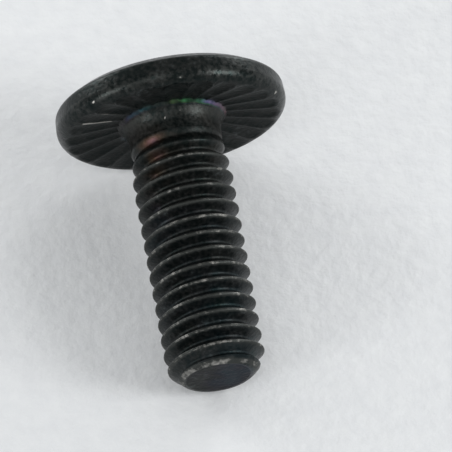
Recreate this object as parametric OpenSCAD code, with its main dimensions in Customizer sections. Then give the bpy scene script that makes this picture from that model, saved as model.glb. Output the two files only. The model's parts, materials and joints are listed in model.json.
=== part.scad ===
// Machine screw M6 x 16 with a low button head and a wide flange.
// Radial ribs under the flange bite into the work, and the head takes a 4 mm hexagon key.
// The screw lies on its flange rim and its thread, tip towards -Y, over the plane z = 0.

/* [Flange] */
// Flange diameter
flange_d = 13.5; // [12:0.05:14.5]
// Height from the rib crests to the flat top of the flange
flange_t = 2.29; // [1.6:0.01:2.6]
// Diameter of the flat top of the flange
flange_top_d = 11.36; // [10.6:0.02:12]
// Radius of the rim's round next to the ribs
rim_low_r = 0.6; // [0.3:0.01:0.9]
// Depth of that round's centre below the rib crests
rim_low_z = 0.95; // [0.7:0.01:1.2]
// Radius of the rim's round on the head side
rim_up_r = 0.18; // [0.1:0.01:0.4]
// Depth of that round's centre below the rib crests
rim_up_z = 1.72; // [1.4:0.01:2]
// How far the rim's side draws in towards the head
rim_draft = 0.045; // [0:0.005:0.1]
// Radius of the round between the sloped edge and the flat top
top_round_r = 0.56; // [0.2:0.01:1]

/* [Crown] */
// Height from the rib crests to the top of the head
head_h = 3.3; // [2.8:0.05:4]
// Diameter of the crown where it meets the flange
crown_d = 10; // [9:0.1:11]
// Diameter of the flat on top of the crown
crown_top_d = 5.2; // [4.9:0.05:6]
// Radius of the hollow round between crown and flange
crown_root_r = 0.6; // [0.2:0.05:1]

/* [Hexagon socket] */
// Width across the socket's flats
socket_af = 4; // [3:0.5:5]
// Depth of the socket's walls
socket_depth = 2.1; // [1.6:0.05:2.4]
// Diameter of the chamfer at the socket's mouth
socket_mouth_d = 4.75; // [4.6:0.05:5.2]
// Depth of the cone at the socket's bottom
socket_cone_h = 0.45; // [0.2:0.05:0.8]

/* [Ribs] */
// Number of ribs
rib_count = 24; // [12:1:36]
// How far the ribs' rounded ends stay inside the flange's edge
rib_inset = 0.03; // [0:0.01:0.35]
// Slope of a rib's crest, rising outwards
rib_slope = 6.93; // [5:0.01:9]
// Slope of the valley between two ribs
valley_slope = 3.45; // [2:0.01:5]
// Turn of the first rib around the axis
rib_phase = 0.6; // [0:0.1:15]
// Radius where the ribs begin, inside the fillet
rib_start = 2.1; // [1.5:0.1:2.6]

/* [Neck] */
// Neck diameter
neck_d = 5.4; // [5:0.02:5.6]
// Radius of the fillet under the head
fillet_r = 1.2; // [0.6:0.05:1.6]
// Height of the fillet's centre above the rib crests
fillet_z = 0.58; // [0.3:0.01:0.9]
// Where the neck gives way to the thread
neck_end = 1; // [0.7:0.05:1.5]

/* [Thread] */
// Outside diameter of the thread, on a nominal 6 mm
thread_d = 5.86; // [5.8:0.01:6]
// Pitch
pitch = 1; // [1:0.05:1]
// Height of the crest at zero turn
crest_z = 0.539; // [0:0.001:1]
// Where the crests start to rise, and where they are full
crest_from = 1.2; // [0.8:0.05:2]
crest_full = 3.5; // [2:0.05:5]
// Where the roots start to sink, and where they are full
root_from = 0.8; // [0.6:0.05:2]
root_full = 2.3; // [1.5:0.05:4]
// Sides of the thread around the axis
thread_sides = 36; // [24:1:40]

/* [Tip] */
// Length under the head, on a nominal 16 mm
screw_l = 15.81; // [15.65:0.01:16.35]
// Diameter of the flat end
end_d = 4.25; // [4:0.05:4.7]
// Angle of the end chamfer to the axis
end_angle = 45; // [30:1:60]

/* [Hidden] */
steel = [0.16, 0.15, 0.15];
flange_r = flange_d / 2;
neck_r = neck_d / 2;
thread_r = thread_d / 2;
end_r = end_d / 2;

// A rib is a cone with a ball at its outer end, and its axis leans into the head.
lean = atan((cos(rib_slope) - cos(valley_slope) * cos(180 / rib_count))
    / (sin(valley_slope) - sin(rib_slope)));
half_angle = rib_slope - lean;
rib_reach = flange_r - rib_inset;
rib_l = rib_reach / (cos(lean) + sin(half_angle));
rib_ball = rib_l * sin(half_angle);
rib_apex_z = -rib_l * (sin(half_angle) + sin(lean));

// The section through the head is in (radius, height), with the tip upwards.
base_apex = [0, rib_apex_z - 0.01];
c_low = [flange_r - rim_low_r, -rim_low_z];
c_up = [flange_r - rim_draft - rim_up_r, -rim_up_z];
c_top = [flange_top_d / 2, top_round_r - flange_t];
crown_r = crown_d / 2;
crown_top_r = crown_top_d / 2;
// centre of the crown's arc, on the axis
crown_c = (pow(crown_r, 2) - pow(crown_top_r, 2) + pow(flange_t, 2) - pow(head_h, 2))
    / (2 * (head_h - flange_t));
crown_ball = norm([crown_r, crown_c + flange_t]);
// centre of the hollow round at the crown's foot
root_c = [sqrt(pow(crown_ball + crown_root_r, 2) - pow(crown_c + flange_t + crown_root_r, 2)),
    -flange_t - crown_root_r];
root_foot = crown_ball / (crown_ball + crown_root_r) * (root_c - [0, crown_c]) + [0, crown_c];

// The thread starts from a plain cylinder, a hair thinner than the neck.
blank = neck_r - 0.02;
// Its form over one pitch: height from the crest's middle, and depth.
form = [[-0.0625, 0], [0.0625, 0], [0.375, 0.5413], [0.5, 0.6134], [0.625, 0.5413]] * pitch;
lines = len(form);
from_z = neck_end - 0.25;
turns = ceil((screw_l - from_z) / pitch) + 4;
rows = turns * lines;

// The screw leans until the lowest point of its thread touches the plane under the flange rim.
under = 0.75 * thread_sides;
tilt = min([for (m = [0 : rows - 1]) let (z = clear_z(under, m))
    if (z > crest_full) rest_angle(z, row_r(m, z))]);
rim_rest = c_low[0] * cos(tilt) + c_low[1] * sin(tilt) + rim_low_r;
tip_y = -screw_l * cos(tilt) - end_r * sin(tilt);
head_y = max(-c_top[1] * cos(tilt) + c_top[0] * sin(tilt) + top_round_r,
    head_h * cos(tilt) + crown_top_r * sin(tilt));

$fa = 4;
$fs = 0.08;

function rest_angle(z, r) = atan((c_low[0] - r) / (z - c_low[1]))
    + asin(rim_low_r / norm([c_low[0] - r, z - c_low[1]]));
function ease(t) = let (s = max(0, min(1, t))) s * s * (3 - 2 * s);

// height and radius of the thread's skin on side i, at line m of its form
function row_z(i, m) = crest_z + pitch * (floor(from_z) - 3 + i / thread_sides)
    + floor(m / lines) * pitch + form[m % lines][0];
function clear_z(i, m) = max(from_z, min(screw_l, row_z(i, m)));
function full_r(m) = thread_r - form[m % lines][1];
function row_r(m, z) = min(end_r + (screw_l - z) * tan(end_angle), blank + (full_r(m) > blank
    ? ease((z - crest_from) / (crest_full - crest_from))
    : ease((z - root_from) / (root_full - root_from))) * (full_r(m) - blank));

// outward direction of the line that touches two rounds from outside
function out_dir(a, ra, b, rb) = let (
    d = b - a,
    t = atan2(d[1], d[0]) + acos((ra - rb) / norm(d))
) [cos(t), sin(t)];

// The round of the rim between two outward directions, filled down to its chord.
module rim_round(c, r, from, to) {
    out = r * (from + to) / norm(from + to);
    rotate_extrude() intersection() {
        translate(c) circle(r);
        polygon([c + r * from, c + 2 * r * from + out, c + 2 * r * to + out, c + r * to]);
    }
}

// The flange: dished under side, two rim rounds, sloped edge and flat top.
module flange() {
    n_base = out_dir(base_apex, 0, c_low, rim_low_r);
    n_side = out_dir(c_low, rim_low_r, c_up, rim_up_r);
    n_edge = out_dir(c_up, rim_up_r, c_top, top_round_r);
    n_top = [0, -1];
    rotate_extrude() polygon([
        base_apex,
        c_low + rim_low_r * n_base,
        c_low + rim_low_r * n_side,
        c_up + rim_up_r * n_side,
        c_up + rim_up_r * n_edge,
        c_top + top_round_r * n_edge,
        c_top + top_round_r * n_top,
        [0, -flange_t]
    ]);
    rim_round(c_low, rim_low_r, n_base, n_side);
    rim_round(c_up, rim_up_r, n_side, n_edge);
    rim_round(c_top, top_round_r, n_edge, n_top);
}

// The crown: a shallow ball with a flat top, and a hollow round at its foot.
module crown() {
    rotate_extrude() {
        crown_section();
    }
}

module crown_section() {
    intersection() {
        translate([0, crown_c]) circle(crown_ball);
        translate([0, -head_h]) square([crown_r + 1, head_h - flange_t + 0.3]);
    }
    difference() {
        polygon([
            root_foot - [0.6, 0],
            root_foot,
            [root_c[0], root_foot[1]],
            [root_c[0], 0.3 - flange_t],
            [root_foot[0] - 0.6, 0.3 - flange_t]
        ]);
        translate(root_c) circle(crown_root_r);
    }
}

module head() {
    color(steel) difference() {
        union() {
            flange();
            crown();
        }
        socket();
    }
}

// The hexagon for the key, with a chamfered mouth and a coned bottom.
module socket() {
    corner_r = socket_af / 2 / cos(30);
    mouth_h = (socket_mouth_d / 2 - socket_af / 2) * tan(30);
    rotate([0, 0, rib_phase]) translate([0, 0, -head_h - 1])
        cylinder(r = corner_r, h = socket_depth + 1, $fn = 6);
    translate([0, 0, -head_h - 0.2])
        cylinder(r1 = socket_mouth_d / 2 + 0.2 / tan(30), r2 = socket_af / 2, h = mouth_h + 0.2);
    translate([0, 0, -head_h + socket_depth - 0.02])
        cylinder(r1 = socket_af / 2 - 0.05, r2 = 0.15, h = socket_cone_h);
}

// The round form of one rib, lying along +X.
module bullet() {
    reach = rib_l * pow(cos(half_angle), 2);
    wide = rib_l * cos(half_angle) * sin(half_angle);
    translate([0, 0, rib_apex_z]) rotate([0, 90 - lean, 0]) rotate_extrude() {
        polygon([
            [0, rib_start],
            [rib_start * tan(half_angle), rib_start],
            [wide, reach],
            [0, rib_l]
        ]);
        intersection() {
            translate([0, rib_l]) circle(rib_ball);
            polygon([[0, rib_l], [2 * wide, rib_l - 2 * (rib_l - reach)],
                [3 * rib_ball, rib_l + 3 * rib_ball], [0, rib_l + 3 * rib_ball]]);
        }
    }
}

// One rib, cut to its share of the circle.
module rib() {
    half = 180 / rib_count;
    intersection() {
        bullet();
        translate([0, 0, -flange_t]) linear_extrude(2 * flange_t)
            polygon([[0, 0], flange_d * [cos(half), -sin(half)], flange_d * [cos(half), sin(half)]]);
    }
}

// The ring of ribs, each meeting its neighbour in a sharp valley.
module ribs() {
    color(steel) for (i = [0 : rib_count - 1])
        rotate([0, 0, rib_phase + i * 360 / rib_count]) rib();
}

// The plain neck and the wide fillet that runs it into the dished face.
module neck() {
    c = [neck_r + fillet_r, fillet_z];
    color(steel) rotate_extrude() difference() {
        polygon([
            [0, -1.2],
            [c[0] - 0.2, -1.2],
            [c[0] - 0.2, fillet_z],
            [neck_r, fillet_z],
            [neck_r, neck_end],
            [0, neck_end]
        ]);
        translate(c) circle(fillet_r);
    }
}

// The rolled thread: helical lines around the shank, faded out at the neck and coned at the tip.
module thread() {
    last = rows - 1;
    // rows that are cut off at either end share one point a side
    low = [for (i = [0 : thread_sides - 1])
        max([for (m = [0 : last]) if (row_z(i, m) <= from_z) m])];
    high = [for (i = [0 : thread_sides - 1])
        min([for (m = [0 : last]) if (row_z(i, m) >= screw_l) m])];
    function at(i, m) = let (
        j = i % thread_sides,
        n = i < thread_sides ? m : min(last, m + lines)
    ) j * rows + max(low[j], min(high[j], n));
    points = [for (i = [0 : thread_sides - 1], m = [0 : last]) let (
        t = 360 * i / thread_sides,
        z = clear_z(i, m),
        r = row_r(m, z)
    ) [r * cos(t), r * sin(t), z]];
    skin = [for (i = [0 : thread_sides - 1], m = [0 : last - 1]) each let (
        a = at(i, m),
        b = at(i, m + 1),
        c = at(i + 1, m + 1),
        d = at(i + 1, m)
    ) [if (a != b) [a, b, c], if (c != d) [a, c, d]]];
    ends = [
        [for (i = [0 : thread_sides - 1]) at(i, 0)],
        [for (i = [thread_sides - 1 : -1 : 0]) at(i, last)]
    ];
    color(steel) polyhedron(points, concat(skin, ends));
}

module screw() {
    translate([0, -(tip_y + head_y) / 2, rim_rest]) rotate([90 + tilt, 0, 0]) {
        head();
        ribs();
        neck();
        thread();
    }
}

screw();
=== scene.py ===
# %% [markdown]
# # A black machine screw, lying on white paper
#
# The screw in this lesson is 19 mm long: a low button head with a wide flange, a ring of ribs
# under the flange, a plain neck and a rolled thread. A solid of it already exists as the frame,
# which sets its size and pose. Here the screw gets a finer skin and the finish of oiled black
# oxide. We start by loading the frame.

# %% Load the frame
import json
import math

import bpy
import numpy as np
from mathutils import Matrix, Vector


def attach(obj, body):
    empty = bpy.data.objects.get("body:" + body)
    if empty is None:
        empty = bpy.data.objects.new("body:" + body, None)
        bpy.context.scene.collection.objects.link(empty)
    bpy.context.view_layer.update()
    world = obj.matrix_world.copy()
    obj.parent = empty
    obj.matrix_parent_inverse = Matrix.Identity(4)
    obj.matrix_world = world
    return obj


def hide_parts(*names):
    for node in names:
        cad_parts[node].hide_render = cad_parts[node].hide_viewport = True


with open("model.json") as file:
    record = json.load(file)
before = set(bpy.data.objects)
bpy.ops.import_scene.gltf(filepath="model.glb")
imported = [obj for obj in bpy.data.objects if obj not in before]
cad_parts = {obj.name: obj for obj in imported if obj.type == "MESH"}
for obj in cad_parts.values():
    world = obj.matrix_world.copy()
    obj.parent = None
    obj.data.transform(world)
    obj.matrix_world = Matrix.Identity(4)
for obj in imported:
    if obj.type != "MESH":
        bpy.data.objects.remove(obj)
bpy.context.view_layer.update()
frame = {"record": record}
MM = 0.001

# %% [markdown]
# ## Where the screw lies
#
# The record that comes with the frame says where the ribs' bearing plane is and which way
# the screw points. That gives the screw a frame of its own: x to the right, y up and to the
# back, z along the axis towards the tip, with z = 0 at the bearing plane. Everything below is
# drawn in that frame in millimetres, and one function carries it to the floor.

# %% The screw's own frame
bearing = next(m for m in frame["record"]["mounts"] if m["name"] == "bearing")
axis_z = np.array(bearing["axis"], float)
axis_z /= np.linalg.norm(axis_z)
axis_x = np.array([1.0, 0.0, 0.0])
axis_y = np.cross(axis_z, axis_x)
seat = np.array(bearing["pos_m"], float)


def lay_down(points_mm):
    """Carries points from the screw's frame, in mm, to where the screw lies, in metres."""
    return seat + MM * (np.asarray(points_mm) @ np.array([axis_x, axis_y, axis_z]))


print("lean:", round(math.degrees(math.asin(-axis_z[2])), 2), "degrees")

# %% [markdown]
# ## One skin, swept around the axis
#
# Almost every surface of a screw is turned, pressed or rolled around one axis, so the whole
# skin can be one grid: columns are half planes around the axis, rows are points along the
# outline from the socket's bottom over the head, down the neck and along the thread to the
# tip. A modifier stack could spin a profile too, but the flutes and the helix change the
# outline from column to column, and with the grid in our own hands their creases fall
# exactly on its edges. 288 columns give 12 to each of the 24 flutes.

# %% Columns of the grid
FLUTES = 24
FLUTE_TURN = 0.6
STEP = 360 / FLUTES
COLUMNS = 12 * FLUTES
turn = FLUTE_TURN + np.arange(COLUMNS) * 360.0 / COLUMNS
off_flute = (turn - FLUTE_TURN + STEP / 2) % STEP - STEP / 2
cos_turn, sin_turn = np.cos(np.radians(turn)), np.sin(np.radians(turn))
rows = []  # each row: radius, height, wear, film, hue, matte, one value a column


def add_row(radius, height, wear=0.0, film=0.0, hue=0.1, matte=0.0):
    """Adds one row of the outline; a plain number counts for every column."""
    rows.append([np.broadcast_to(np.asarray(v, float), (COLUMNS,)).copy()
                 for v in (radius, height, wear, film, hue, matte)])


def add_arc(centre, radius, start, end, steps, wear=0.0):
    """Adds an arc of the outline, from one angle in degrees to another."""
    for angle in np.radians(np.linspace(start, end, steps)):
        add_row(centre[0] + radius * math.cos(angle), centre[1] + radius * math.sin(angle), wear)


def ease(value):
    """Smooth step from 0 to 1."""
    value = np.clip(value, 0, 1)
    return value * value * (3 - 2 * value)


print(COLUMNS, "columns, one every", 360 / COLUMNS, "degrees")

# %% [markdown]
# ## The hexagon socket
#
# A punch presses the socket into the head: six flat walls, a chamfer at the mouth where the
# key enters, and a shallow cone at the bottom. The hexagon's corners fall on columns, so its
# edges are sharp lines of the mesh.

# %% Socket rows
HEAD_TOP = -3.3
SOCKET_HALF, SOCKET_DEPTH = 2.0, 2.1
SOCKET_FLOOR = HEAD_TOP + SOCKET_DEPTH
SOCKET_CONE = [(0.0, 0.45), (0.15, 0.43), (1.0, 0.2), (1.9, 0.0)]  # radius, depth below floor
MOUTH_R, MOUTH_ANGLE = 2.375, 30
hexagon = SOCKET_HALF / np.cos(np.radians((turn - FLUTE_TURN) % 60 - 30))
mouth_slope = math.tan(math.radians(MOUTH_ANGLE))
for r, dip in SOCKET_CONE:
    add_row(r, SOCKET_FLOOR + dip)
add_row(hexagon, SOCKET_FLOOR)
add_row(hexagon, SOCKET_FLOOR - SOCKET_DEPTH / 3)
add_row(hexagon, HEAD_TOP + (MOUTH_R - hexagon) * mouth_slope, wear=0.25)
add_row(MOUTH_R, HEAD_TOP, wear=0.35)
print("socket rows:", len(rows))

# %% [markdown]
# ## Crown and flange
#
# The crown is a shallow ball with a flat top. A hollow round runs it into the flange, whose
# edge slopes and then turns over two rounds to the underside. A line that touches two rounds
# has one direction square to both, and `touching` finds it.


# %% Crown and flange rows
def touching(a, radius_a, b, radius_b):
    """Angle, in degrees, of the outward direction of the line that touches two rounds."""
    way = np.subtract(b, a)
    return math.degrees(math.atan2(way[1], way[0])
                        + math.acos((radius_a - radius_b) / math.hypot(*way)))


FLANGE_TOP = -2.29
# each round of the flange's edge: centre and radius
LOW_C, LOW_R = (5.95, -0.974), 0.8
UP_C, UP_R = (6.35, -1.55), 0.36
TOP_C, TOP_R = (5.68, -1.73), 0.56
CROWN_R, CROWN_TOP_R, ROOT_R = 5.0, 2.6, 0.6
crown_c = (CROWN_R**2 - CROWN_TOP_R**2 + FLANGE_TOP**2 - HEAD_TOP**2) / (
    2 * (FLANGE_TOP - HEAD_TOP))
crown_ball = math.hypot(CROWN_R, crown_c - FLANGE_TOP)
root_c = (math.sqrt((crown_ball + ROOT_R) ** 2 - (crown_c - FLANGE_TOP + ROOT_R) ** 2),
          FLANGE_TOP - ROOT_R)
foot = math.degrees(math.atan2(root_c[1] - crown_c, root_c[0]))
side = touching(LOW_C, LOW_R, UP_C, UP_R)
edge = touching(UP_C, UP_R, TOP_C, TOP_R)
top_edge = math.degrees(math.atan2(HEAD_TOP - crown_c, CROWN_TOP_R))
add_row(CROWN_TOP_R, HEAD_TOP, wear=0.15)
add_arc((0, crown_c), crown_ball, top_edge + 0.3, foot, 8)
add_arc(root_c, ROOT_R, foot + 180, 90, 5)
add_arc(TOP_C, TOP_R, -90, edge, 6)
add_arc(UP_C, UP_R, edge, side, 7, wear=0.1)
print("outline angles:", round(side, 1), round(edge, 1), "crown ball", round(crown_ball, 2))

# %% [markdown]
# ## The flutes
#
# Under the flange 24 shallow flutes run outwards like the petals of a daisy, and the ridges
# between them are the ribs that bite into the work. Here a flute is a slim hollow cone that
# leans away from the head, and all the cones share one point on the axis. In a half plane
# through the axis such a cone is a straight line, so each column gets exact points. A
# displacement texture would be quicker, but it would blur the ridges that catch the light.

# %% Flute form in each column
RIDGE_SLOPE, FLUTE_SLOPE = math.radians(7.3), math.radians(5.9)
apex = LOW_C[1] + (LOW_R - LOW_C[0] * math.sin(RIDGE_SLOPE)) / math.cos(RIDGE_SLOPE)
lean = math.atan((math.cos(FLUTE_SLOPE) - math.cos(RIDGE_SLOPE) * math.cos(math.pi / FLUTES))
                 / (math.sin(RIDGE_SLOPE) - math.sin(FLUTE_SLOPE)))
half = lean - FLUTE_SLOPE
flat = np.cos(np.radians(off_flute)) * math.cos(lean)
climb = np.arctan2(math.sin(lean), flat) - np.arccos(
    math.cos(half) / np.hypot(flat, math.sin(lean)))
grade = np.tan(climb)
print("apex", round(apex, 3), "cone lean", round(math.degrees(lean), 1),
      "half angle", round(math.degrees(half), 1))

# %% [markdown]
# Outside, each flute runs out over the round of the rim. That point is where the column's
# line cuts the round a second time, so a small function solves the line and the circle. The
# fillet round the neck uses it again, with the first crossing.


# %% Where the flutes end
def cross(centre, radius, side_sign):
    """Radius where each column's line cuts a round: +1 takes the outer point, -1 the inner."""
    rise = apex - centre[1]
    a, b = 1 + grade**2, -centre[0] + grade * rise
    c = centre[0] ** 2 + rise**2 - radius**2
    return (-b + side_sign * np.sqrt(np.maximum(b * b - a * c, 0))) / a


meet_r = cross(LOW_C, LOW_R, 1)
print("flutes end at radius", meet_r.max().round(2), "and ridges at", meet_r.min().round(2))

# %% [markdown]
# Now the rows themselves, from the outside inwards: first the rim's round, then the flutes. The
# rim's round gets a pale wear colour, partly rubbing and partly painted sheen. The ridges rub on
# the work, so they get wear, some more than others, and three get extra pale colour that paints
# thin highlight lines.

# %% Rim and flute rows
# the rim's amount of pale wear colour is partly rubbing and partly painted sheen
RIM_WEAR_AND_SHEEN, RIM_MATTE, FACE_MATTE = 0.68, -0.22, 0.75
RIDGE_BAND = 2.6  # degrees to each side of a ridge that rub
FILLET_C, FILLET_R = (4.3, 0.62), 1.6
ridge = ((turn - FLUTE_TURN) // STEP).astype(int) % FLUTES
rub_and_glint = np.random.default_rng(5).uniform(0.25, 0.6, FLUTES)
# three ridges on the left get extra pale colour: painted highlight lines, brightest on the last
rub_and_glint[[8, 9, 10]] = 0.9, 1.1, 1.75
ridge_rub_and_glint = rub_and_glint[ridge] * np.maximum(1 - (STEP / 2 - abs(off_flute)) / RIDGE_BAND, 0)
side_at = math.radians(side)
meet_at = np.arctan2(apex + grade * meet_r - LOW_C[1], meet_r - LOW_C[0])
for part in np.linspace(0, 1, 18):
    angle = side_at + (meet_at - side_at) * part
    add_row(LOW_C[0] + LOW_R * np.cos(angle), LOW_C[1] + LOW_R * np.sin(angle),
            wear=RIM_WEAR_AND_SHEEN * (1 - part**6) + 0.5 * ridge_rub_and_glint * part**4,
            matte=RIM_MATTE * (1 - part**4))
root_r = cross(FILLET_C, FILLET_R, -1)
ring_hue = 0.66 + 0.0045 * np.degrees(np.arcsin(cos_turn))
for part in np.linspace(0, 1, 15)[1:]:
    r = meet_r + (root_r - meet_r) * part
    add_row(r, apex + grade * r, wear=ridge_rub_and_glint * ease(3 - 3.2 * part),
            film=0.2 * np.exp(-((r - root_r) / 0.1) ** 2), hue=ring_hue, matte=FACE_MATTE)
print("rows so far:", len(rows))

# %% [markdown]
# The fillet runs the flutes into the neck. Just where it turns down, heat left a narrow ring of
# colour. Around the screw it runs from violet over blue and green to rose. Inside the ring the
# neck gets a pale wear colour, partly rubbing by the hole it sat in and partly painted sheen.

# %% Fillet rows
# the neck's pale wear colour also paints its sheen
NECK_R, NECK_WEAR_AND_SHEEN, NECK_FILM, NECK_HUE = 2.7, 0.78, 0.07, 0.12
RING_R, RING_WIDE = 3.13, 0.085
ring_film = 0.7 + 0.9 * ease(0.5 + cos_turn)
bend = np.arctan2(apex + grade * root_r - FILLET_C[1], root_r - FILLET_C[0])
for part in np.linspace(0, 1, 16)[1:] ** 1.3:
    angle = bend + (-np.pi - bend) * part
    r = FILLET_C[0] + FILLET_R * np.cos(angle)
    on_neck = ease((3.05 - r) / 0.1)
    ring = ring_film * np.exp(-((r - RING_R) / RING_WIDE) ** 2)
    add_row(r, FILLET_C[1] + FILLET_R * np.sin(angle), wear=NECK_WEAR_AND_SHEEN * on_neck,
            film=np.maximum(ring, NECK_FILM * on_neck),
            hue=ring_hue + (NECK_HUE - ring_hue) * on_neck)
print("rows so far:", len(rows))

# %% [markdown]
# ## The thread
#
# Two dies roll the thread, so the metal of the grooves is squeezed up into the crests, and
# near the head both fade out into the plain neck. Its rows climb one pitch each time they
# go round, so they follow the helix. Where a row would start inside the neck or run past the
# tip, it stops at that ring. The form over one pitch is a list of heights, depths and wear:
# rounded crest, two 30 degree flanks and a rounded root.

# %% Thread rows
THREAD_R, PITCH, CREST_AT = 2.93, 1.0, 0.539
NECK_END, TIP_AT, END_R = 0.9, 15.81, 2.125
LIP, LIP_LONG = 0.1, 0.25
CREST_FROM, CREST_RISE = 1.2, 2.3
ROOT_FROM, ROOT_DROP = 0.8, 1.5
# one pitch of the form: height from the crest's middle, depth under the crest, wear
FORM = [(-0.13, 0.117, 0.75), (-0.085, 0.047, 0.88), (-0.045, 0.011, 0.96), (0.0, 0.0, 0.9),
        (0.045, 0.011, 0.96), (0.085, 0.047, 0.88), (0.13, 0.117, 0.75), (0.25, 0.325, 0.2),
        (0.37, 0.53, 0.0), (0.43, 0.59, 0.0), (0.5, 0.6134, 0.0), (0.57, 0.59, 0.0),
        (0.63, 0.53, 0.0), (0.75, 0.325, 0.2)]
add_row(NECK_R, NECK_END, wear=NECK_WEAR_AND_SHEEN, film=NECK_FILM, hue=NECK_HUE)
neck_row = len(rows) - 1


def cone(z):
    """Radius of the end chamfer at a height, with its lip at the end rounded over."""
    return END_R + TIP_AT - z - LIP * np.maximum(z - TIP_AT + LIP_LONG, 0) ** 2 / LIP_LONG**2


turns = int(TIP_AT) + 4
helix_z = np.array([CREST_AT + turn / 360 * PITCH + (k - 2) * PITCH + f[0]
                    for k in range(turns) for f in FORM])
depth = np.array([f[1] for _ in range(turns) for f in FORM])[:, None]
worn = np.array([f[2] for _ in range(turns) for f in FORM])[:, None]
inside = np.clip(helix_z, NECK_END, TIP_AT)
full = THREAD_R - depth
fade = np.where(full > NECK_R, ease((inside - CREST_FROM) / CREST_RISE),
                ease((inside - ROOT_FROM) / ROOT_DROP))
helix_r = NECK_R + fade * (full - NECK_R)
print("thread rows:", len(helix_z))

# %% [markdown]
# The chamfer at the tip cuts the thread with a cone. Taking the smaller radius of the two
# does that, but the cut edge would then zigzag across the grid. So where a column's outline
# crosses the cone between two points, the nearer point slides onto the crossing. Points near
# the edge then sink a little, because a real chamfer's edge is never as sharp as a knife.

# %% Cut the chamfer
EDGE_BAND, EDGE_SINK = 0.3, 0.08
over = helix_r - cone(inside)
cut_r, cut_z = np.minimum(helix_r, cone(inside)), inside.copy()
for m in range(len(inside) - 1):
    crosses = (over[m] * over[m + 1] < 0) & (inside[m + 1] > inside[m])
    share = np.where(crosses, over[m] / np.where(crosses, over[m] - over[m + 1], 1), 0)
    at_r = helix_r[m] + share * (helix_r[m + 1] - helix_r[m])
    at_z = inside[m] + share * (inside[m + 1] - inside[m])
    near, far = crosses & (share < 0.5), crosses & (share >= 0.5)
    cut_r[m], cut_z[m] = np.where(near, at_r, cut_r[m]), np.where(near, at_z, cut_z[m])
    cut_r[m + 1] = np.where(far, at_r, cut_r[m + 1])
    cut_z[m + 1] = np.where(far, at_z, cut_z[m + 1])
blunt = np.maximum(EDGE_BAND - abs(over), 0) / EDGE_BAND
cut_r -= EDGE_SINK * blunt**2
print("points on the chamfer:", int((over > 0).sum()))

# %% [markdown]
# The thread's wear and colour follow its form. Crests are worn once they stand clear of the
# neck, and the lip of the chamfer is worn most, a little less on the right. The grooves are
# more matte and hold more film: brown near the neck on one side, a faint blue further down.

# %% Wear and colour of the thread
WORN_FROM, WORN_RISE = 1.0, 1.5
CONE_WEAR, LIP_WEAR, LIP_SPARED = 0.45, 1.03, 0.3
LIP_FROM, LIP_RISE = 15.38, 0.3
TANNED_AT, TANNED_WIDE = 132, 18  # turn in degrees
crest_wear = worn * ease((inside - WORN_FROM) / WORN_RISE)
lip_wear = LIP_WEAR - LIP_SPARED * ease((cos_turn - 0.1) / 0.6)
cone_wear = CONE_WEAR + (lip_wear - CONE_WEAR) * ease((inside - LIP_FROM) / LIP_RISE)
cone_wear = np.where(over > -0.04, cone_wear, 0)
groove = np.clip(depth / 0.6, 0, 1) * np.ones_like(cut_r)
tanned = np.exp(-((turn - TANNED_AT) / TANNED_WIDE) ** 2)
tanned = tanned * np.exp(-np.maximum(inside - 1.5, 0) / 2)
thread_film = 0.015 + (0.04 + 0.42 * tanned) * groove
thread_hue = 0.06 + 0.05 * groove + 0.3 * ease((inside - 3) / 4)
print("film on the thread:", thread_film.min().round(3), "to", thread_film.max().round(3))

# %% [markdown]
# ## Build the mesh
#
# The head's rows, the helix and a flat end face are now stitched into one closed mesh. A row
# of the helix meets the row one pitch further on when it comes round to the first column,
# and rows that stop at a ring share that ring's points, so no point is doubled.

# %% Rings of the end face, and the whole grid
END_RINGS = [(END_R - LIP, 1.0), (1.95, 0.5), (1.86, 0.0), (1.1, 0.0), (0.5, 0.0), (0.0, 0.0)]
end_row = len(rows)
for r, share in END_RINGS:
    add_row(r, TIP_AT, wear=share * lip_wear, film=0.12, hue=0.34, matte=0.9 * (r < 1.9))
helix_start = len(rows)
helix_count = len(cut_r)
plain = np.array([[row[k] for row in rows] for k in range(6)])
spiral = np.array([cut_r, cut_z, np.maximum(crest_wear, cone_wear), thread_film, thread_hue,
                   0.3 * groove])
grid = np.concatenate([plain, spiral], axis=1)
low = (helix_z <= NECK_END).sum(axis=0) - 1
high = (helix_z < TIP_AT).sum(axis=0)
print("rings:", helix_start, "rows of the helix:", helix_count)

# %% [markdown]
# A face needs the numbers of its corners, and two small functions give them: one for a ring,
# one for the helix, which falls back on a ring where its row has stopped.


# %% Stitch the grid
def vertex(row, column):
    """Number of a plain row's point; the rings of radius 0 are one point."""
    if row in (0, helix_start - 1):
        column = 0
    return row * COLUMNS + column % COLUMNS


def helix_vertex(m, column):
    """Number of a point of the helix, or of the ring where its row stops."""
    if column == COLUMNS:
        column, m = 0, m + len(FORM)
    if m <= low[column]:
        return vertex(neck_row, column)
    if m >= high[column]:
        return vertex(end_row, column)
    return (helix_start + m) * COLUMNS + column


faces = []


def stitch(a, b, c, d):
    """Adds a quad, or a triangle where two corners are one point."""
    corners = [v for k, v in enumerate((a, b, c, d)) if v not in (a, b, c, d)[:k]]
    if len(corners) > 2:
        faces.append(corners)


for i in range(COLUMNS):
    for m in [*range(neck_row), *range(end_row, helix_start - 1)]:
        stitch(vertex(m, i), vertex(m, i + 1), vertex(m + 1, i + 1), vertex(m + 1, i))
    for m in range(helix_count - len(FORM) - 1):
        stitch(helix_vertex(m, i), helix_vertex(m, i + 1),
               helix_vertex(m + 1, i + 1), helix_vertex(m + 1, i))
print("faces:", len(faces))

# %% [markdown]
# The numbers become a Blender mesh here. Points that no face uses are dropped, and four values
# ride along on the points for the finish: how worn an edge is, how strong the thin colour film
# lies on the skin, which of the film's colours shows, and how matte it is. The wear value also
# carries painted sheen on the rim and neck and painted highlight lines on three ridges. Five
# small balls of wear colour, each around one point, paint bright glints of light on the head.

# %% Make the object
GLINT_STRENGTH = 2.2
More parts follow.
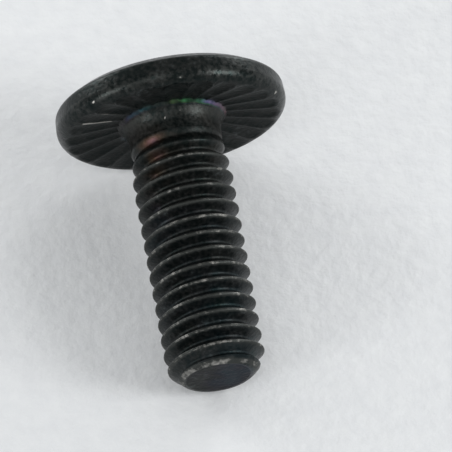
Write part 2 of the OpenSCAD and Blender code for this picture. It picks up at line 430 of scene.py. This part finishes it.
# each painted glint: turn in degrees, radius, height, size
GLINT_SPECKS = [(153.5, 6.7, -1.4, 0.2), (137.0, 6.63, -0.55, 0.11), (88.5, 6.61, -0.52, 0.16),
          (23.0, 6.46, -0.36, 0.22), (104.5, 2.74, 0.25, 0.09)]
used = np.unique(np.concatenate([np.array(f) for f in faces]))
renumber = np.full(grid.shape[1] * COLUMNS, -1)
renumber[used] = np.arange(len(used))
r, z, wear, film, hue, matte = (grid[k].reshape(-1)[used] for k in range(6))
column = used % COLUMNS
points = np.stack([r * cos_turn[column], r * sin_turn[column], z], axis=1)
for at, out_r, along, size in GLINT_SPECKS:
    spot = (out_r * math.cos(math.radians(at)), out_r * math.sin(math.radians(at)), along)
    away = np.linalg.norm(points - spot, axis=1)
    wear = np.maximum(wear, GLINT_STRENGTH * np.maximum(1 - away / size, 0))
mesh = bpy.data.meshes.new("screw_skin")
mesh.from_pydata(lay_down(points).tolist(), [], [[int(renumber[v]) for v in f] for f in faces])
mesh.validate()
for name, values in (("wear", wear), ("film", film), ("hue", hue), ("matte", matte)):
    mesh.attributes.new(name, "FLOAT", "POINT").data.foreach_set("value", values)
mesh.shade_smooth()
mesh.set_sharp_from_angle(angle=math.radians(48))
screw = bpy.data.objects.new("screw_skin", mesh)
bpy.context.scene.collection.objects.link(screw)
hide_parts("screw")
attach(screw, "root")
print("points:", len(used), "faces:", len(mesh.polygons))

# %% [markdown]
# ## Oiled black oxide
#
# Black oxide is a thin dark layer on the steel, and a little oil gives it a soft gloss. It
# rubs off on sharp crests, where bare steel shows as pale broken lines. Two effects repeat
# over the screw, so each is a node group: broken edge wear, and the fine grain of the skin.


# %% Node helpers
def new_group(name, inputs, outputs):
    """A shader node group with named float or colour sockets."""
    group = bpy.data.node_groups.new(name, "ShaderNodeTree")
    for label, kind, value in inputs:
        socket = group.interface.new_socket(label, in_out="INPUT", socket_type=kind)
        socket.default_value = value
    for label, kind in outputs:
        group.interface.new_socket(label, in_out="OUTPUT", socket_type=kind)
    return group, group.nodes.new("NodeGroupInput"), group.nodes.new("NodeGroupOutput")


def node(tree, kind, links=None, **values):
    """Adds a node, sets its properties and inputs, and links what feeds it."""
    made = tree.nodes.new(kind)
    for key, value in values.items():
        setattr(made, key, value)
    for socket, source in (links or {}).items():
        if isinstance(source, bpy.types.NodeSocket):
            tree.links.new(source, made.inputs[socket])
        else:
            made.inputs[socket].default_value = source
    return made


def plus(tree, first, second):
    """The sum of two values or sockets."""
    return node(tree, "ShaderNodeMath", {0: first, 1: second}, operation="ADD").outputs[0]


def times(tree, first, second):
    """The product of two values or sockets."""
    return node(tree, "ShaderNodeMath", {0: first, 1: second}, operation="MULTIPLY").outputs[0]


print("helpers ready")

# %% [markdown]
# Wear is never even: the mask on the points says where an edge is exposed, and where pale colour
# paints sheen and glints, and noise at two sizes breaks it up, so one crest is bare for a few
# millimetres and the next is still black.

# %% Broken wear
worn_group, given, out = new_group(
    "broken_wear",
    [("Mask", "NodeSocketFloat", 0.0), ("Patch size", "NodeSocketFloat", 600.0),
     ("Amount", "NodeSocketFloat", 0.5)],
    [("Worn", "NodeSocketFloat")])
where = node(worn_group, "ShaderNodeTexCoord").outputs["Object"]
patches = node(worn_group, "ShaderNodeTexNoise",
               {"Vector": where, "Scale": given.outputs["Patch size"], "Detail": 3.0})
specks = node(worn_group, "ShaderNodeTexNoise",
              {"Vector": where, "Scale": 4200.0, "Detail": 2.0})
mixed = plus(worn_group, times(worn_group, patches.outputs["Fac"], 0.6),
             times(worn_group, specks.outputs["Fac"], 0.4))
raised = plus(worn_group, mixed, times(worn_group, given.outputs["Amount"], 0.5))
hit = times(worn_group, raised, given.outputs["Mask"])
ramp = node(worn_group, "ShaderNodeMapRange", {"Value": hit, "From Min": 0.62, "From Max": 0.86})
worn_group.links.new(ramp.outputs["Result"], out.inputs["Worn"])
print("group:", worn_group.name)

# %% [markdown]
# The skin's grain has a soft mottle, which shifts the colour and the gloss, and a fine
# roughness that only the light shows. Both come from one group.

# %% Skin grain
grain_group, given, out = new_group(
    "oxide_grain",
    [("Mottle size", "NodeSocketFloat", 500.0), ("Grain size", "NodeSocketFloat", 5000.0)],
    [("Mottle", "NodeSocketFloat"), ("Grain", "NodeSocketFloat")])
where = node(grain_group, "ShaderNodeTexCoord").outputs["Object"]
mottle = node(grain_group, "ShaderNodeTexNoise",
              {"Vector": where, "Scale": given.outputs["Mottle size"], "Detail": 4.0,
               "Roughness": 0.6})
fine = node(grain_group, "ShaderNodeTexNoise",
            {"Vector": where, "Scale": given.outputs["Grain size"], "Detail": 3.0})
grain_group.links.new(mottle.outputs["Fac"], out.inputs["Mottle"])
grain_group.links.new(fine.outputs["Fac"], out.inputs["Grain"])
print("group:", grain_group.name)

# %% [markdown]
# ## The finish itself
#
# The base is nearly black, and its mottle runs from a cold green black to a dull grey. Heat
# and oil leave thin films, whose colours follow their thickness: straw, brown, violet, blue,
# green and rose. One colour ramp holds that order, and the values on the points say where on
# it a place lies and how strong the film is. The strongest films are the ring in the fillet
# and a brown tint in the first grooves.


# %% Colours of the skin
def colour_ramp(tree, factor, stops):
    """A Color Ramp node with stops of position and colour."""
    ramp = node(tree, "ShaderNodeValToRGB", {"Fac": factor})
    for position, colour in stops[1:-1]:
        ramp.color_ramp.elements.new(position).color = (*colour, 1)
    for element, (position, colour) in zip(ramp.color_ramp.elements, stops):
        element.position, element.color = position, (*colour, 1)
    return ramp.outputs["Color"]


def blend(tree, factor, first, second):
    """A Mix node of two colours."""
    return node(tree, "ShaderNodeMix", {"Factor": factor, 6: first, 7: second},
                data_type="RGBA").outputs[2]


OXIDE = [(0.3, (0.0045, 0.0085, 0.0085)), (0.45, (0.011, 0.015, 0.0145)),
         (0.57, (0.024, 0.026, 0.025)), (0.65, (0.043, 0.049, 0.049)), (0.74, (0.11, 0.12, 0.12))]
FILMS = [(0.0, (0.05, 0.045, 0.035)), (0.15, (0.16, 0.08, 0.03)), (0.28, (0.17, 0.07, 0.1)),
         (0.38, (0.08, 0.06, 0.16)), (0.5, (0.03, 0.16, 0.2)), (0.62, (0.15, 0.22, 0.08)),
         (0.74, (0.05, 0.34, 0.13)), (0.85, (0.13, 0.13, 0.27)), (1.0, (0.27, 0.14, 0.17))]
print("film colours:", len(FILMS))

# %% [markdown]
# The material starts with the dark skin and lays the films over it. A coarser mottle breaks
# the films into patches and shifts their colour a little, as on the real screw. All of it is
# noise in the screw's own space, which needs no unwrapping and has no seam, where a painted
# texture would need both to be solved.

# %% Black oxide
oxide = bpy.data.materials.new("black_oxide")
oxide.use_nodes = True
tree = oxide.node_tree
shader = tree.nodes["Principled BSDF"]
shader.inputs["IOR"].default_value = 1.5
shader.inputs["Specular IOR Level"].default_value = 0.2
grain = node(tree, "ShaderNodeGroup", {"Mottle size": 900.0, "Grain size": 4200.0},
             node_tree=grain_group)
spots = node(tree, "ShaderNodeGroup", {"Mottle size": 260.0, "Grain size": 9000.0},
             node_tree=grain_group)
shade = plus(tree, times(tree, grain.outputs["Mottle"], 0.5),
             times(tree, grain.outputs["Grain"], 0.5))
skin = colour_ramp(tree, shade, OXIDE)
film, hue, wear_and_sheen, matt = (
    node(tree, "ShaderNodeAttribute", attribute_name=name).outputs["Fac"]
    for name in ("film", "hue", "wear", "matte"))
drift = times(tree, plus(tree, spots.outputs["Mottle"], -0.5), 0.7)
film_colour = colour_ramp(tree, plus(tree, hue, drift), FILMS)
patchy = node(tree, "ShaderNodeMapRange", {"Value": spots.outputs["Mottle"], "From Min": 0.46,
                                           "From Max": 0.62, "To Min": 0.06})
laid = node(tree, "ShaderNodeMath", {0: film, 1: patchy.outputs["Result"]}, operation="MULTIPLY",
            use_clamp=True).outputs[0]
stained = blend(tree, laid, skin, film_colour)
print("film over oxide ready")

# %% [markdown]
# Bare steel is paler and fully metallic. The wear also shows as a dull grey band under the bright
# specks, because oxide thins out before it breaks. On the rim, the neck, three ridges and five
# specks the same two colours paint sheen and glints of light.

# %% Worn edges
# the dull grey and the bare steel colours also paint sheen on the rim and neck and glints on
# ridges and specks
THIN_OXIDE_AND_SHEEN, BARE_STEEL_AND_GLINT = (0.05, 0.053, 0.05, 1), (0.42, 0.41, 0.385, 1)
thin_and_sheen = node(tree, "ShaderNodeGroup", {"Mask": wear_and_sheen, "Patch size": 500.0, "Amount": 0.9},
            node_tree=worn_group).outputs["Worn"]
bright = node(tree, "ShaderNodeGroup", {"Mask": wear_and_sheen, "Patch size": 1300.0, "Amount": 0.28},
              node_tree=worn_group).outputs["Worn"]
dull = blend(tree, times(tree, thin_and_sheen, 0.75), stained, THIN_OXIDE_AND_SHEEN)
tree.links.new(blend(tree, bright, dull, BARE_STEEL_AND_GLINT), shader.inputs["Base Color"])
print("wear over film ready")

# %% [markdown]
# Gloss comes last. The oiled skin is smooth, and thin oxide and matte places are rougher. The
# grain stands up by a few hundredths of a millimetre, too little to model, so a Bump node
# draws it.

# %% Gloss and relief
gloss = node(tree, "ShaderNodeMapRange", {"Value": grain.outputs["Grain"], "From Min": 0.3,
                                          "From Max": 0.7, "To Min": 0.28, "To Max": 0.44})
dulled = plus(tree, times(tree, thin_and_sheen, 0.14), times(tree, matt, 0.3))
tree.links.new(plus(tree, gloss.outputs["Result"], dulled), shader.inputs["Roughness"])
metal = node(tree, "ShaderNodeMapRange", {"Value": bright, "To Min": 0.8, "To Max": 1.0})
tree.links.new(metal.outputs["Result"], shader.inputs["Metallic"])
pits = plus(tree, grain.outputs["Grain"], times(tree, grain.outputs["Mottle"], 1.5))
pits = times(tree, pits, plus(tree, matt, 1.0))
bump = node(tree, "ShaderNodeBump", {"Height": pits, "Strength": 0.6, "Distance": 0.00004})
tree.links.new(bump.outputs["Normal"], shader.inputs["Normal"])
mesh.materials.append(oxide)
print("material:", oxide.name, "with", len(tree.nodes), "nodes")

# %% [markdown]
# ## The paper
#
# The screw lies on white paper. A plain plane would do, but paper is never quite flat in tone,
# so a faint noise varies its colour, and a fine relief catches the low light.

# %% Paper floor
REACH = 0.5
PAPER_TONES = [(0.3, (0.73, 0.745, 0.76)), (0.7, (0.77, 0.785, 0.795))]
paper_mesh = bpy.data.meshes.new("paper")
paper_mesh.from_pydata([(-REACH, -REACH, 0), (REACH, -REACH, 0), (REACH, REACH, 0),
                        (-REACH, REACH, 0)], [], [(0, 1, 2, 3)])
paper = bpy.data.objects.new("paper", paper_mesh)
bpy.context.scene.collection.objects.link(paper)
sheet = bpy.data.materials.new("white_paper")
sheet.use_nodes = True
tree = sheet.node_tree
shader = tree.nodes["Principled BSDF"]
shader.inputs["Specular IOR Level"].default_value = 0.2
where = node(tree, "ShaderNodeTexCoord").outputs["Object"]
tone = node(tree, "ShaderNodeTexNoise", {"Vector": where, "Scale": 900.0, "Detail": 4.0})
tint = colour_ramp(tree, tone.outputs["Fac"], PAPER_TONES)
tree.links.new(tint, shader.inputs["Base Color"])
shader.inputs["Roughness"].default_value = 0.9
relief = node(tree, "ShaderNodeTexNoise", {"Vector": where, "Scale": 1500.0, "Detail": 3.0})
press = node(tree, "ShaderNodeBump", {"Height": relief.outputs["Fac"], "Strength": 0.8,
                                      "Distance": 0.00008})
tree.links.new(press.outputs["Normal"], shader.inputs["Normal"])
paper_mesh.materials.append(sheet)
print("paper:", 2 * REACH, "m wide")

# %% [markdown]
# ## Light
#
# The photograph has no hard shadow: two faint ones spread to both sides, and a small one lies
# under the tip. Broad lights low around the screw and a bright sky give that, where one lamp
# overhead would draw a single dark shape. Each light is a disk, placed by its direction. The
# one on the right is smaller, and the rim mirrors it as the long highlight at its top right.


# %% Lights
def soft_light(name, azimuth, elevation, power, wide=200, away=400):
    """A disk light that faces the screw; sizes in mm, azimuth from +X towards +Y."""
    az, el = math.radians(azimuth), math.radians(elevation)
    way = Vector((math.cos(az) * math.cos(el), math.sin(az) * math.cos(el), math.sin(el)))
    lamp = bpy.data.lights.new(name, "AREA")
    lamp.shape, lamp.size, lamp.energy = "DISK", wide * MM, power
    holder = bpy.data.objects.new(name, lamp)
    holder.location = away * MM * way
    holder.rotation_euler = (-way).to_track_quat("-Z", "Y").to_euler()
    bpy.context.scene.collection.objects.link(holder)


soft_light("right", 332, 28, 0.84, wide=170)
soft_light("back_right", 45, 12, 0.7)
soft_light("back_left", 135, 12, 0.72)
soft_light("front_left", 208, 18, 0.4, wide=120)
soft_light("front_high", 240, 55, 0.17)
world = bpy.data.worlds.new("studio")
bpy.context.scene.world = world
world.use_nodes = True
world.node_tree.nodes["Background"].inputs["Color"].default_value = (0.97, 0.98, 0.985, 1)
world.node_tree.nodes["Background"].inputs["Strength"].default_value = 0.53
bpy.context.scene.view_settings.view_transform = "Standard"

# %% [markdown]
# ## The camera
#
# The photograph looks down on the screw from in front of its tip, a little to its left. It
# was taken from far away, so the thread's crests stay parallel, and an orthographic camera
# draws just that. The aim point is where the picture's middle falls, and the scale is the
# picture's width over the pixels that one millimetre takes.

# %% Camera
AZIMUTH, ELEVATION = math.radians(-9.75), math.radians(53.4)
PIXELS, PER_MM = 452, 17.2
AIM, AWAY = (2.233, 1.057, 2.990), 300
back = Vector((math.sin(AZIMUTH) * math.cos(ELEVATION),
               -math.cos(AZIMUTH) * math.cos(ELEVATION), math.sin(ELEVATION)))
lens = bpy.data.cameras.new("camera")
lens.type = "ORTHO"
lens.ortho_scale = PIXELS / PER_MM * MM
lens.clip_start, lens.clip_end = 0.005, 5.0
camera = bpy.data.objects.new("camera", lens)
camera.location = (Vector(AIM) + AWAY * back) * MM
camera.rotation_euler = (math.pi / 2 - ELEVATION, 0.0, AZIMUTH)
bpy.context.scene.collection.objects.link(camera)
bpy.context.scene.camera = camera
print("camera sees", round(lens.ortho_scale / MM, 2), "mm across")

# %% Finish
bpy.context.view_layer.update()
